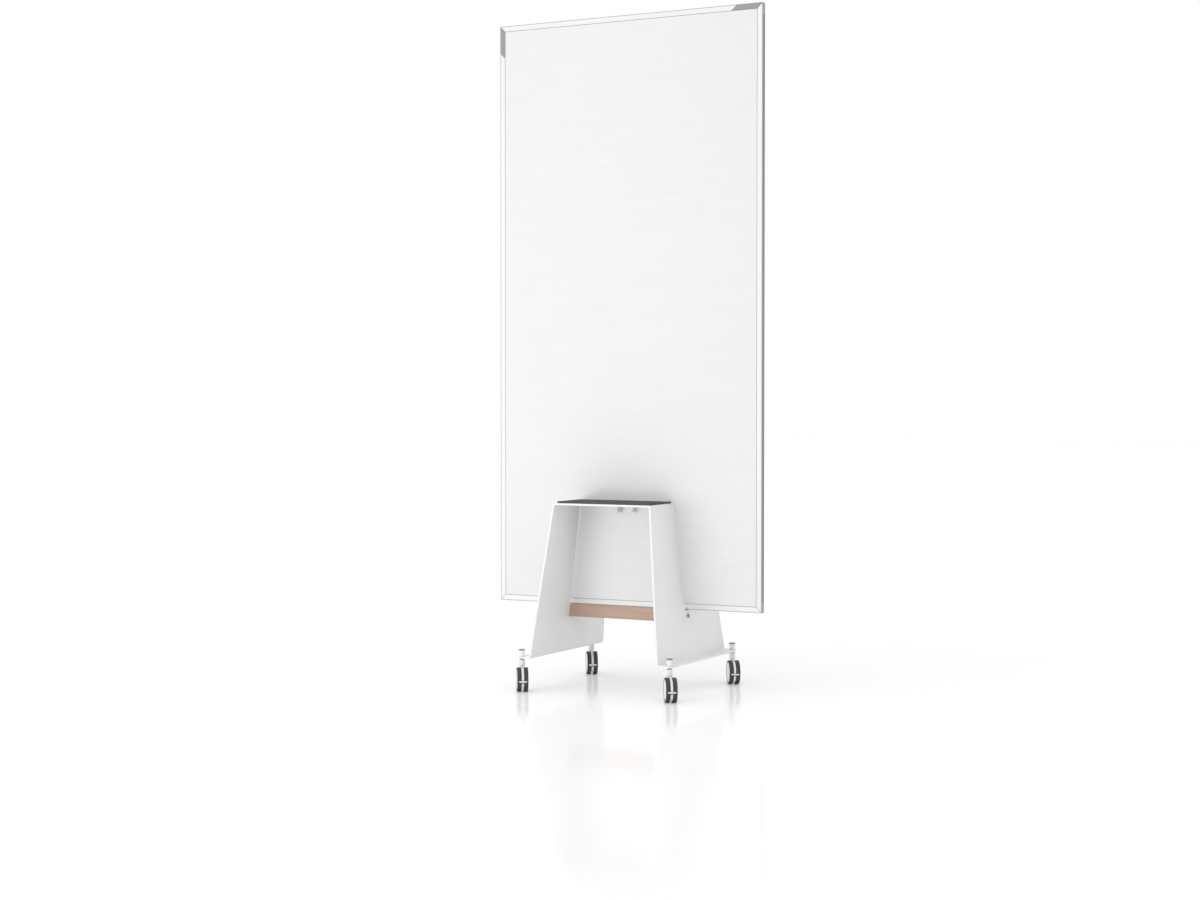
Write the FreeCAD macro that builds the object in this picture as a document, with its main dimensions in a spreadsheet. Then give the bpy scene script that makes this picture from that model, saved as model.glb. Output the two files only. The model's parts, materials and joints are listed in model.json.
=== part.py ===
import FreeCAD, Part
import math
import os
from types import SimpleNamespace

import Sketcher

# A tall two-sided whiteboard standing in the slot of a folded sheet stand on four twin-wheel castors.
# X runs along the board, +Y points away from the front and +Z up. The pieces are modelled about the middle
# of the stand's slot; write_all moves them along Y so that the origin is on the floor under the middle of
# the whole object. Every driving dimension is in millimetres, except the angles, which are in degrees.
DIMENSIONS = {
    # writing board
    "board_wide": 992,
    "board_tall": 2000,
    "board_thick": 20,
    "board_base": 274,
    "sheet_thick": 1,
    # hollow frame rail: face width, walls, key chamber and the groove that holds the core
    "rail_face": 18.7,
    "rail_wall": 1.6,
    "chamber_wide": 7,
    "groove_floor": 10.2,
    "seam_wide": 1.6,
    "seal_thick": 0.6,
    "key_leg": 60,
    "key_play": 0.1,
    "mitre_gap": 0.8,
    "accent_long": 93,
    "accent_thick": 0.3,
    # grey strips and corner clips let into the rails' outer sides
    "inlay_half_wide": 8,
    "inlay_deep": 0.8,
    "inlay_play": 0.1,
    "clip_leg": 36,
    # folded stand
    "metal_thick": 6,
    "trim_spare": 1,
    "stand_top": 629,
    "stand_foot": 108.4,
    "top_half_wide": 182,
    "foot_half_wide": 240.7,
    "top_half_deep": 201.4,
    "foot_half_deep": 263,
    "flange_reach": 289,
    "bend_inside": 4,
    "slot_half_wide": 17.6,
    "slot_floor": 272,
    # shelf mats
    "mat_thick": 6,
    "mat_side_margin": 9.3,
    "mat_front_margin": 13.3,
    "mat_slot_margin": 6.3,
    "mat_corner": 1.5,
    # wooden crossbar and its bolts
    "bar_tall": 44,
    "bar_deep": 32,
    "bar_chamfer": 1.2,
    "bolt_level": 252,
    "bolt_radius": 3,
    "bolt_play": 0.3,
    "bolt_reach": 20,
    "bolt_head_radius": 8.2,
    "bolt_head_tall": 3.2,
    "bolt_rim_tall": 0.8,
    "bolt_crown_radius": 5.4,
    "bolt_socket_radius": 2.6,
    "bolt_socket_deep": 1.9,
    "insert_radius": 5,
    "insert_long": 18,
    "thread_play": 0.05,
    # board clamps under the shelf
    "clamp_offset": 27,
    "clamp_level": 602,
    "bracket_wide": 14,
    "bracket_thick": 2,
    "bracket_leg": 18.4,
    "bracket_low": 593,
    "clamp_radius": 2.5,
    "clamp_play": 0.05,
    "clamp_pad_radius": 6,
    "clamp_pad_thick": 3,
    "clamp_pad_hole": 1.6,
    "clamp_pad_gap": 0.1,
    "clamp_collar_radius": 4.5,
    "clamp_collar_start": 16,
    "clamp_collar_thick": 2,
    "wing_wide": 7,
    "wing_long": 20,
    "wing_deep": 9,
    "wing_round": 1.75,
    "stop_head_radius": 4,
    "wing_turn_left": 0,
    "wing_turn_right": 55,
    # castors
    "castor_x": 275.4,
    "castor_y": 248.6,
    "castor_heading": 33.3,
    "trail": 24,
    "wheel_radius": 40,
    "wheel_inner": 4.7,
    "wheel_outer": 18.5,
    "tyre_thick": 6,
    "tyre_round": 1.3,
    "axle_radius": 3,
    "axle_half_long": 16.3,
    "axle_play": 0.05,
    "hub_boss_radius": 7,
    "hub_boss_slope": 1,
    "hub_web_radius": 28,
    "hub_web_slope": 2,
    "hub_web_back": 2,
    "hub_lip_wide": 2,
    "hub_lip_slope": 1.5,
    "hub_lip_tall": 0.6,
    "hub_dish_radius": 10,
    "hub_dish_deep": 0.6,
    "hub_face_back": 1,
    "hub_cap_gap": 0.3,
    "fork_thick": 7.6,
    "fork_radius": 38,
    "fork_low": 9,
    "web_trail_low": 60,
    "web_lead_low": 52,
    "web_overlap": 3.5,
    "web_half": 9,
    "neck_low": 80,
    "neck_high": 104.5,
    "neck_radius": 10.5,
    "neck_round": 4,
    "socket_low": 84,
    "bush_radius": 5.5,
    "stem_radius": 4,
    "stem_play": 0.05,
    "stem_end_gap": 1,
    "collar_low": 105,
    "collar_radius": 8,
    "thread_radius": 4,
    "thread_high": 125,
    "sleeve_radius": 9.5,
    "sleeve_high": 134.2,
    "sleeve_chamfer": 1.2,
    "cap_high": 138.2,
    "cap_low_radius": 10,
    "cap_top_radius": 11.5,
    "cap_crown": 1.2,
    # brake pedal of each castor
    "pedal_thick": 3.6,
    "pedal_slot": 4,
    "pedal_slot_low": 28,
    "pedal_slot_high": 39.8,
    "pedal_slot_start": 15,
    "pedal_pivot_back": 20,
    "pedal_pivot_up": 36,
    "pedal_boss_radius": 3.2,
    "pedal_arm_half": 2.9,
    "trunnion_radius": 2,
    "trunnion_play": 0.05,
    "pedal_bar_wide": 26,
    "pedal_bar_back": 41,
    "pedal_bar_deep": 4,
    "pedal_bar_low": 34.8,
    "pedal_bar_high": 38.6,
}

FAR = 900.0  # longer than any cut through the object has to be
ORIGIN = -1  # the sketcher's own number for a sketch's origin point
START, END, CENTRE = 1, 2, 3


class Size:
    """A number together with the spreadsheet expression that gives it."""

    def __init__(self, text, number):
        self.text = text
        self.number = float(number)

    def __add__(self, other):
        return combine(self, "+", other)

    def __radd__(self, other):
        return combine(other, "+", self)

    def __sub__(self, other):
        return combine(self, "-", other)

    def __rsub__(self, other):
        return combine(other, "-", self)

    def __mul__(self, other):
        return combine(self, "*", other)

    def __rmul__(self, other):
        return combine(other, "*", self)

    def __truediv__(self, other):
        return combine(self, "/", other)

    def __neg__(self):
        return combine(0, "-", self)


def as_size(value):
    """A plain number becomes a constant size."""
    return value if isinstance(value, Size) else Size(repr(float(value)), value)


def combine(left, sign, right):
    """One arithmetic step, done on both the numbers and the expressions."""
    left, right = as_size(left), as_size(right)
    if sign == "+":
        number = left.number + right.number
    elif sign == "-":
        number = left.number - right.number
    elif sign == "*":
        number = left.number * right.number
    else:
        number = left.number / right.number
    return Size("(%s %s %s)" % (left.text, sign, right.text), number)


def root(size):
    """The square root of a size."""
    return Size("sqrt(%s)" % size.text, math.sqrt(size.number))


doc = FreeCAD.newDocument("rolling_whiteboard")


def fill_sheet():
    """Put the driving dimensions in the spreadsheet and give each its name."""
    sheet = doc.addObject("Spreadsheet::Sheet", "Dims")
    for row, (name, value) in enumerate(DIMENSIONS.items(), 1):
        sheet.set("A%d" % row, name.replace("_", " "))
        sheet.set("B%d" % row, str(value))
        sheet.setAlias("B%d" % row, name)
    doc.recompute()
    return SimpleNamespace(**{name: Size("Dims." + name, value) for name, value in DIMENSIONS.items()})


dim = fill_sheet()
finished = []  # the sub-parts, in the order they are made


# ---------------------------------------------------------------- modelling helpers


def bind(thing, prop, size):
    """Set a property and tie it to the spreadsheet."""
    size = as_size(size)
    setattr(thing, prop, size.number)
    thing.setExpression(prop, size.text)


def finish(part):
    """Count an object as one of the object's sub-parts."""
    finished.append(part)
    return part


def new_body(label):
    body = doc.addObject("PartDesign::Body", label)
    body.AllowCompound = False
    return body


def pin(sketch, line, end, across, up):
    """Fix one point of a sketch at its distances from the origin."""
    for kind, size in (("DistanceX", as_size(across)), ("DistanceY", as_size(up))):
        index = sketch.addConstraint(Sketcher.Constraint(kind, ORIGIN, START, line, end, size.number))
        sketch.setExpression("Constraints[%d]" % index, size.text)


def draw_loop(sketch, loop):
    """A closed outline of straight lines through the given points."""
    first = sketch.GeometryCount
    corners = [FreeCAD.Vector(as_size(across).number, as_size(up).number, 0) for across, up in loop]
    count = len(loop)
    for index in range(count):
        sketch.addGeometry(Part.LineSegment(corners[index], corners[(index + 1) % count]), False)
    for index in range(count):
        following = first + (index + 1) % count
        sketch.addConstraint(Sketcher.Constraint("Coincident", first + index, END, following, START))
    for index, (across, up) in enumerate(loop):
        pin(sketch, first + index, START, across, up)


def draw_circle(sketch, across, up, radius):
    """A circle with its centre and radius fixed."""
    radius = as_size(radius)
    centre = FreeCAD.Vector(as_size(across).number, as_size(up).number, 0)
    number = sketch.GeometryCount
    sketch.addGeometry(Part.Circle(centre, FreeCAD.Vector(0, 0, 1), radius.number), False)
    index = sketch.addConstraint(Sketcher.Constraint("Radius", number, radius.number))
    sketch.setExpression("Constraints[%d]" % index, radius.text)
    pin(sketch, number, CENTRE, across, up)


def new_sketch(body, plane, loops=(), circles=(), offset=None):
    """A sketch on one of the body's origin planes, moved along the plane's normal by offset."""
    sketch = body.newObject("Sketcher::SketchObject", "outline")
    support = next(feature for feature in body.Origin.OriginFeatures if feature.Role == plane)
    sketch.AttachmentSupport = [(support, "")]
    sketch.MapMode = "FlatFace"
    if offset is not None:
        sketch.setExpression("AttachmentOffset.Base.z", as_size(offset).text)
    for loop in loops:
        draw_loop(sketch, loop)
    for across, up, radius in circles:
        draw_circle(sketch, across, up, radius)
    return sketch


def extrude(kind, body, sketch, length, symmetric, backwards):
    """A pad or a pocket of a given length."""
    feature = body.newObject("PartDesign::" + kind, kind.lower())
    feature.Profile = sketch
    feature.SideType = "Symmetric" if symmetric else "One side"
    feature.Reversed = backwards
    bind(feature, "Length", length)
    body.Tip = feature
    doc.recompute()
    return feature


def pad(body, sketch, length, symmetric=False, backwards=False):
    return extrude("Pad", body, sketch, length, symmetric, backwards)


def pocket(body, sketch, length=FAR):
    """Cut the sketch through the body, equally to both sides of its plane."""
    before = body.Shape.Volume
    feature = extrude("Pocket", body, sketch, length, True, False)
    if not feature.Shape.Volume < before:
        raise RuntimeError(body.Label + ": a pocket cut nothing")
    return feature


def revolve(body, loop):
    """Turn an outline, given as (radius, height) points, about the body's Z axis."""
    sketch = new_sketch(body, "XZ_Plane", [loop])
    feature = body.newObject("PartDesign::Revolution", "revolution")
    feature.Profile = sketch
    feature.ReferenceAxis = (sketch, ["V_Axis"])
    feature.Angle = 360
    body.Tip = feature
    doc.recompute()
    return feature


def edges_where(shape, test):
    """The names of a shape's edges that pass a test."""
    return ["Edge%d" % number for number, edge in enumerate(shape.Edges, 1) if test(edge)]


def dress(kind, body, prop, size, test):
    """A fillet or chamfer on those edges of the body that pass a test."""
    base = body.Tip
    names = edges_where(base.Shape, test)
    if not names:
        raise RuntimeError(body.Label + ": no edge to " + kind.lower())
    feature = body.newObject("PartDesign::" + kind, kind.lower())
    feature.Base = (base, names)
    bind(feature, prop, size)
    body.Tip = feature
    doc.recompute()
    return feature


def fillet(body, radius, test):
    return dress("Fillet", body, "Radius", radius, test)


def chamfer(body, width, test):
    return dress("Chamfer", body, "Size", width, test)


def runs_along(axis):
    """A test for straight edges parallel to a row axis, 0 for X, 1 for Y and 2 for Z."""

    def test(edge):
        if edge.Curve.TypeId != "Part::GeomLine":
            return False
        return abs(abs(edge.Curve.Direction[axis]) - 1) < 1e-6

    return test


def middle(edge):
    """The point halfway between an edge's ends."""
    return (edge.Vertexes[0].Point + edge.Vertexes[-1].Point) * 0.5


def is_ring(radius, height):
    """A test for the full circles of one radius at one height."""

    def test(edge):
        if edge.Curve.TypeId != "Part::GeomCircle":
            return False
        same_size = abs(edge.Curve.Radius - radius.number) < 1e-4
        return same_size and abs(edge.Curve.Center.z - height.number) < 1e-4

    return test


def mirror(source, base, normal, label="mirrored"):
    """The mirror image of an object in the plane through base across normal."""
    image = doc.addObject("Part::Mirroring", label)
    image.Source = source
    image.Base = FreeCAD.Vector(*base)
    image.Normal = FreeCAD.Vector(*normal)
    doc.recompute()
    return image


def group(label, pieces):
    """Identical separate solids that share one node."""
    together = doc.addObject("Part::Compound", label)
    together.Links = pieces
    doc.recompute()
    return finish(together)


def four_corners(label, piece):
    """One piece repeated by mirroring at all four corners of the stand."""
    left = mirror(piece, (0, 0, 0), (1, 0, 0))
    behind = [mirror(front, (0, 0, 0), (0, 1, 0)) for front in (piece, left)]
    return group(label, [piece, left] + behind)


def cut(label, base, tools):
    """Take tool shapes away from a base object."""
    joined = doc.addObject("Part::Compound", label + "_tools")
    joined.Links = tools
    result = doc.addObject("Part::Cut", label)
    result.Base = base
    result.Tool = joined
    doc.recompute()
    if not result.Shape.Volume < base.Shape.Volume:
        raise RuntimeError(label + ": a cut removed nothing")
    return finish(result)


def turned(axis, degrees):
    return FreeCAD.Rotation(FreeCAD.Vector(*axis), degrees)


# ---------------------------------------------------------------- shapes shared by several parts

lean = (dim.foot_half_wide - dim.top_half_wide) / (dim.stand_top - dim.stand_foot)
lean_angle = math.degrees(math.atan(lean.number))
metal_across = dim.metal_thick * root(1 + lean * lean)
board_half_wide = dim.board_wide / 2
board_half_thick = dim.board_thick / 2
board_top = dim.board_base + dim.board_tall
board_centre = (0, 0, (dim.board_base + dim.board_tall / 2).number)


def outside(height):
    """The half-width of the stand's outer side faces at a height."""
    return dim.top_half_wide + lean * (dim.stand_top - height)


def inside(height):
    """The half-width between the stand's inner side faces at a height."""
    return outside(height) - metal_across


def rectangle(low_x, low_y, high_x, high_y):
    return [(low_x, low_y), (high_x, low_y), (high_x, high_y), (low_x, high_y)]


def board_rectangle(inset):
    """A rectangle inside the board's outline, in the board's own plane."""
    across = board_half_wide - inset
    return rectangle(-across, dim.board_base + inset, across, board_top - inset)


# ---------------------------------------------------------------- writing board


def board_core():
    """The light core: its edges sit in the rails' grooves."""
    body = new_body("board_core")
    sketch = new_sketch(body, "XZ_Plane", [board_rectangle(dim.groove_floor + dim.key_play)])
    pad(body, sketch, dim.board_thick - 2 * dim.sheet_thick, symmetric=True)
    return finish(body)


def writing_sheet(label, side):
    """A thin steel writing sheet, flush with the frame's face on one side of the core."""
    body = new_body(label)
    outline = board_rectangle(dim.rail_face + dim.seam_wide)
    face = board_half_thick - dim.sheet_thick
    sketch = new_sketch(body, "XZ_Plane", [outline], offset=-side * face)
    pad(body, sketch, dim.sheet_thick, backwards=side > 0)
    return finish(body)


def seam_seals():
    """Narrow seal rings in the seams between writing sheets and frame, a little below their faces."""
    body = new_body("seam_seal_blank")
    loops = [board_rectangle(dim.rail_face), board_rectangle(dim.rail_face + dim.seam_wide)]
    sketch = new_sketch(body, "XZ_Plane", loops, offset=board_half_thick - dim.sheet_thick)
    pad(body, sketch, dim.seal_thick)
    return group("seam_seals", [body, mirror(body, (0, 0, 0), (0, 1, 0))])


def rail(label, length, x, z, turn):
    """A hollow frame rail with mitred ends, made along X with its outer edge up, then turned into place.

    One groove takes the core, and a shallow one in the outer side takes the inlay.
    """
    body = new_body(label)
    groove = board_half_thick - dim.sheet_thick
    inlay = dim.inlay_half_wide
    section = [
        (-board_half_thick, 0),
        (-board_half_thick, -dim.rail_face),
        (-groove, -dim.rail_face),
        (-groove, -dim.groove_floor),
        (groove, -dim.groove_floor),
        (groove, -dim.rail_face),
        (board_half_thick, -dim.rail_face),
        (board_half_thick, 0),
        (inlay, 0),
        (inlay, -dim.inlay_deep),
        (-inlay, -dim.inlay_deep),
        (-inlay, 0),
    ]
    chamber_half = board_half_thick - dim.rail_wall
    chamber_low = -(dim.rail_wall + dim.chamber_wide)
    chamber = rectangle(-chamber_half, chamber_low, chamber_half, -dim.rail_wall)
    pad(body, new_sketch(body, "YZ_Plane", [section, chamber]), length, symmetric=True)
    half = length / 2
    mitres = []
    for side in (-1, 1):
        mitres.append([(side * half, 0), (side * (half - dim.mitre_gap), 0),
                       (side * (half - dim.mitre_gap - dim.board_thick), -dim.board_thick),
                       (side * half, -dim.board_thick)])
    pocket(body, new_sketch(body, "XZ_Plane", mitres), dim.board_thick * 2)
    body.Placement = FreeCAD.Placement(FreeCAD.Vector(0, 0, 0), turned((0, 1, 0), turn))
    body.setExpression("Placement.Base.x", as_size(x).text)
    body.setExpression("Placement.Base.z", z.text)
    return finish(body)


def board_corners(label, inset, leg, across, wide):
    """An L-shaped piece at each corner of the board, its outer edges inset from the board's."""
    body = new_body(label + "_blank")
    outer_x = board_half_wide - inset
    outer_z = board_top - inset
    ell = [
        (outer_x, outer_z),
        (outer_x - leg, outer_z),
        (outer_x - leg, outer_z - across),
        (outer_x - across, outer_z - across),
        (outer_x - across, outer_z - leg),
        (outer_x, outer_z - leg),
    ]
    pad(body, new_sketch(body, "XZ_Plane", [ell]), wide, symmetric=True)
    left = mirror(body, board_centre, (1, 0, 0))
    lower = [mirror(upper, board_centre, (0, 0, 1)) for upper in (body, left)]
    return group(label, [body, left] + lower)


def corner_keys():
    """L-shaped keys inside the rails that lock the four mitres."""
    inset = dim.rail_wall + dim.key_play
    across = dim.chamber_wide - 2 * dim.key_play
    return board_corners("corner_keys", inset, dim.key_leg, across, dim.board_thick - 2 * inset)


def edge_clips():
    """Thin corner clips in the rails' outer grooves."""
    wide = 2 * (dim.inlay_half_wide - dim.inlay_play)
    return board_corners("edge_clips", 0, dim.clip_leg, dim.inlay_deep, wide)


def edge_strips():
    """Strips that fill the rails' outer grooves between the corner clips."""
    gap = dim.clip_leg + dim.inlay_play
    end = board_half_wide - gap
    upright = rectangle(board_half_wide - dim.inlay_deep, dim.board_base + gap,
                        board_half_wide, board_top - gap)
    level = rectangle(-end, board_top - dim.inlay_deep, end, board_top)
    strips = []
    for name, outline, across in (("upright", upright, (1, 0, 0)), ("level", level, (0, 0, 1))):
        body = new_body("edge_strip_" + name)
        wide = 2 * (dim.inlay_half_wide - dim.inlay_play)
        pad(body, new_sketch(body, "XZ_Plane", [outline]), wide, symmetric=True)
        strips += [body, mirror(body, board_centre, across)]
    return group("edge_strips", strips)


def accent(label, outline):
    """A thin grey plate on the front face of the frame."""
    body = new_body(label)
    sketch = new_sketch(body, "XZ_Plane", [outline], offset=board_half_thick)
    pad(body, sketch, dim.accent_thick)
    return finish(body)


def accents():
    """One plate at the upper end of the left stile and one at the right end of the top rail."""
    face, long = dim.rail_face, dim.accent_long
    accent("accent_left", [
        (-board_half_wide, board_top),
        (face - board_half_wide, board_top - face),
        (face - board_half_wide, board_top - face - long),
        (-board_half_wide, board_top - long),
    ])
    accent("accent_top", [
        (board_half_wide, board_top),
        (board_half_wide - face, board_top - face),
        (board_half_wide - face - long, board_top - face),
        (board_half_wide - long, board_top),
    ])


def make_board():
    board_core()
    for label, side in (("front", -1), ("rear", 1)):
        writing_sheet("writing_sheet_" + label, side)
    seam_seals()
    middle_z = dim.board_base + dim.board_tall / 2
    rail("frame_top", dim.board_wide, 0, board_top, 0)
    rail("frame_right", dim.board_tall, board_half_wide, middle_z, 90)
    rail("frame_bottom", dim.board_wide, 0, dim.board_base, 180)
    rail("frame_left", dim.board_tall, -board_half_wide, middle_z, -90)
    corner_keys()
    edge_clips()
    edge_strips()
    accents()


# ---------------------------------------------------------------- folded stand


def fold_section():
    """The stand seen from the front: flange, side, top, side and flange, all one thickness."""
    flange_top = dim.stand_foot + dim.metal_thick
    plate_low = dim.stand_top - dim.metal_thick
    right = [
        (inside(plate_low), plate_low),
        (inside(dim.stand_foot), dim.stand_foot),
        (dim.flange_reach, dim.stand_foot),
        (dim.flange_reach, flange_top),
        (outside(flange_top), flange_top),
        (dim.top_half_wide, dim.stand_top),
    ]
    left = [(-across, up) for across, up in reversed(right)]
    return right + left


def side_trim():
    """Everything outside the stand's sloping front and rear edges, seen from the side."""
    above = dim.stand_top + 2 * dim.metal_thick
    right = [
        (dim.foot_half_deep, 0),
        (dim.foot_half_deep, dim.stand_foot + dim.metal_thick),
        (dim.top_half_deep, dim.stand_top),
        (dim.top_half_deep, above),
    ]
    left = [(-across, up) for across, up in reversed(right)]
    clear = 2 * dim.metal_thick
    reach = dim.foot_half_deep + clear
    return [right + left, rectangle(-reach, -clear, reach, above + clear)]


def bend_test(points):
    """A test for the fold lines that pass through the given points of the section."""
    places = [(abs(across.number), up.number) for across, up in points]
    parallel = runs_along(1)

    def test(edge):
        spot = middle(edge)
        return parallel(edge) and any(
            abs(abs(spot.x) - across) < 0.01 and abs(spot.z - up) < 0.01 for across, up in places)

    return test


def stand_fold():
    """One sheet of steel folded four times, with the board's slot cut through top and sides."""
    body = new_body("stand_fold")
    section = fold_section()
    # a little longer than the finished depth, so that the trim leaves clean edges
    pad(body, new_sketch(body, "XZ_Plane", [section]), 2 * (dim.foot_half_deep + dim.trim_spare),
        symmetric=True)
    inner_top, inner_foot, _, _, outer_foot, outer_top = section[:6]
    fillet(body, dim.bend_inside, bend_test([inner_top, outer_foot]))
    fillet(body, dim.bend_inside + dim.metal_thick, bend_test([inner_foot, outer_top]))
    pocket(body, new_sketch(body, "YZ_Plane", side_trim()))
    slot = rectangle(-dim.slot_half_wide, dim.slot_floor, dim.slot_half_wide,
                     dim.stand_top + dim.metal_thick)
    pocket(body, new_sketch(body, "YZ_Plane", [slot]))
    flange_corner = dim.flange_reach - dim.castor_x
    upright = runs_along(2)
    fillet(body, flange_corner,
           lambda edge: upright(edge) and abs(abs(middle(edge).x) - dim.flange_reach.number) < 0.01)
    holes = []
    for x in (-dim.castor_x, dim.castor_x):
        for y in (-dim.castor_y, dim.castor_y):
            holes.append((x, y, dim.thread_radius + dim.bolt_play))
    pocket(body, new_sketch(body, "XY_Plane", circles=holes), dim.stand_foot * 3)
    return body


def bolt_axes():
    """The placement of each crossbar bolt: on a side's outer face and square to it."""
    places = []
    for side in (-1, 1):
        point = FreeCAD.Vector(side * outside(dim.bolt_level).number, 0, dim.bolt_level.number)
        places.append(FreeCAD.Placement(point, turned((0, 1, 0), side * (90 - lean_angle))))
    return places


def bolt_hole_tools(radius, deep):
    """Cylinders that cut the bolt's holes, both ways from the side's outer face."""
    tools = []
    for place in bolt_axes():
        tool = doc.addObject("Part::Cylinder", "bolt_hole")
        bind(tool, "Radius", radius)
        bind(tool, "Height", 2 * deep)
        tool.Placement = place.multiply(FreeCAD.Placement(FreeCAD.Vector(0, 0, -deep.number),
                                                          FreeCAD.Rotation()))
        tools.append(tool)
    return tools


def stand_sheet():
    tools = bolt_hole_tools(dim.bolt_radius + dim.bolt_play, 2 * dim.metal_thick)
    return cut("stand_sheet", stand_fold(), tools)


def shelf_mats():
    """Mats on the two halves of the shelf, in front of the slot and behind it."""
    body = new_body("shelf_mat_blank")
    across = dim.top_half_wide - dim.mat_side_margin
    near = dim.slot_half_wide + dim.mat_slot_margin
    far = dim.top_half_deep - dim.mat_front_margin
    loop = rectangle(-across, -far, across, -near)
    pad(body, new_sketch(body, "XY_Plane", [loop], offset=dim.stand_top), dim.mat_thick)
    fillet(body, dim.mat_corner, runs_along(2))
    return group("shelf_mats", [body, mirror(body, (0, 0, 0), (0, 1, 0))])


def crossbar():
    """The wooden bar between the sides; the board's lower edge stands on it."""
    body = new_body("crossbar_blank")
    low = dim.board_base - dim.bar_tall
    loop = [
        (-inside(low), low),
        (inside(low), low),
        (inside(dim.board_base), dim.board_base),
        (-inside(dim.board_base), dim.board_base),
    ]
    pad(body, new_sketch(body, "XZ_Plane", [loop]), dim.bar_deep, symmetric=True)
    chamfer(body, dim.bar_chamfer, runs_along(0))
    return cut("crossbar", body, bolt_hole_tools(dim.insert_radius, dim.metal_thick + dim.bolt_reach))


def at_bolts(label, body):
    """Two copies of a piece made about Z, one on each bolt's axis."""
    copies = []
    for place in bolt_axes():
        moved = doc.addObject("Part::Compound", "placed")
        moved.Links = [body]
        moved.Placement = place
        copies.append(moved)
    return group(label, copies)


def crossbar_bolts():
    """Dome-headed socket bolts; height 0 is the side's outer face."""
    body = new_body("crossbar_bolt_blank")
    revolve(body, [
        (0, -dim.bolt_reach),
        (dim.bolt_radius, -dim.bolt_reach),
        (dim.bolt_radius, 0),
        (dim.bolt_head_radius, 0),
        (dim.bolt_head_radius, dim.bolt_rim_tall),
        (dim.bolt_crown_radius, dim.bolt_head_tall),
        (dim.bolt_socket_radius, dim.bolt_head_tall),
        (dim.bolt_socket_radius, dim.bolt_head_tall - dim.bolt_socket_deep),
        (0, dim.bolt_head_tall - dim.bolt_socket_deep),
    ])
    return at_bolts("crossbar_bolts", body)


def crossbar_inserts():
    """Threaded brass inserts in the ends of the bar."""
    body = new_body("crossbar_insert_blank")
    bore = dim.bolt_radius + dim.thread_play
    start = -(dim.metal_thick + dim.insert_long)
    rings = [(0, 0, dim.insert_radius), (0, 0, bore)]
    pad(body, new_sketch(body, "XY_Plane", circles=rings, offset=start), dim.insert_long)
    return at_bolts("crossbar_inserts", body)


# ---------------------------------------------------------------- board clamps


def clamp_bracket(label, side):
    """Two small angle brackets under one half of the shelf, one on each side of the middle."""
    body = new_body(label + "_blank")
    plate_low = dim.stand_top - dim.metal_thick
    near = dim.slot_half_wide
    ell = [
        (side * near, plate_low),
        (side * (near + dim.bracket_leg), plate_low),
        (side * (near + dim.bracket_leg), plate_low - dim.bracket_thick),
        (side * (near + dim.bracket_thick), plate_low - dim.bracket_thick),
        (side * (near + dim.bracket_thick), dim.bracket_low),
        (side * near, dim.bracket_low),
    ]
    sketch = new_sketch(body, "YZ_Plane", [ell], offset=dim.clamp_offset)
    pad(body, sketch, dim.bracket_wide, symmetric=True)
    hole = (dim.clamp_offset, dim.clamp_level, dim.clamp_radius + dim.clamp_play)
    pocket(body, new_sketch(body, "XZ_Plane", circles=[hole]))
    return group(label, [body, mirror(body, (0, 0, 0), (1, 0, 0))])


def place_on_clamp(body, x_side, y_side, turn=0.0):
    """Put a piece made about Z on a clamp's axis: height 0 at the board's face and Z into the board."""
    spin = turned((1, 0, 0), 90 * y_side).multiply(turned((0, 0, 1), turn))
    body.Placement = FreeCAD.Placement(FreeCAD.Vector(0, 0, 0), spin)
    body.setExpression("Placement.Base.x", (x_side * dim.clamp_offset).text)
    body.setExpression("Placement.Base.y", (y_side * board_half_thick).text)
    body.setExpression("Placement.Base.z", dim.clamp_level.text)


def clamp_pad(label, x_side):
    """The soft foot that the clamp screw presses on the board; the screw's tip turns in its back."""
    body = new_body(label)
    back = -(dim.clamp_pad_thick + dim.clamp_pad_gap)
    hole = dim.clamp_radius + dim.clamp_play
    revolve(body, [
        (0, -dim.clamp_pad_gap),
        (dim.clamp_pad_radius, -dim.clamp_pad_gap),
        (dim.clamp_pad_radius, back),
        (hole, back),
        (hole, back + dim.clamp_pad_hole),
        (0, back + dim.clamp_pad_hole),
    ])
    place_on_clamp(body, x_side, -1)
    return finish(body)


def clamp_screw(label, x_side, turn):
    """A thumb screw: threaded shank, collar and a flat wing to turn it by."""
    body = new_body(label)
    tip = -(dim.clamp_pad_thick + dim.clamp_pad_gap) + dim.clamp_pad_hole - dim.clamp_play
    collar = -dim.clamp_collar_start
    wing = collar - dim.clamp_collar_thick
    revolve(body, [
        (0, tip),
        (dim.clamp_radius, tip),
        (dim.clamp_radius, collar),
        (dim.clamp_collar_radius, collar),
        (dim.clamp_collar_radius, wing),
        (0, wing),
    ])
    blade = rectangle(-dim.wing_wide / 2, -dim.wing_long / 2, dim.wing_wide / 2, dim.wing_long / 2)
    sketch = new_sketch(body, "XY_Plane", [blade], offset=wing - dim.wing_deep)
    pad(body, sketch, dim.wing_deep)
    lowest = (wing - dim.wing_deep).number
    along = runs_along(2)
    fillet(body, dim.wing_round, lambda edge: along(edge) and middle(edge).z > lowest)
    place_on_clamp(body, x_side, -1, turn.number)
    return finish(body)


def stop_pads():
    """Fixed soft stops behind the board, each held in its bracket by a stud and a head."""
    body = new_body("stop_pad_blank")
    bracket_face = -(dim.slot_half_wide - board_half_thick)
    back = bracket_face - dim.bracket_thick
    revolve(body, [
        (0, -dim.clamp_pad_gap),
        (dim.clamp_pad_radius, -dim.clamp_pad_gap),
        (dim.clamp_pad_radius, bracket_face),
        (dim.clamp_radius, bracket_face),
        (dim.clamp_radius, back),
        (dim.stop_head_radius, back),
        (dim.stop_head_radius, back - dim.bracket_thick),
        (0, back - dim.bracket_thick),
    ])
    place_on_clamp(body, 1, 1)
    return group("stop_pads_rear", [body, mirror(body, (0, 0, 0), (1, 0, 0))])


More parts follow.
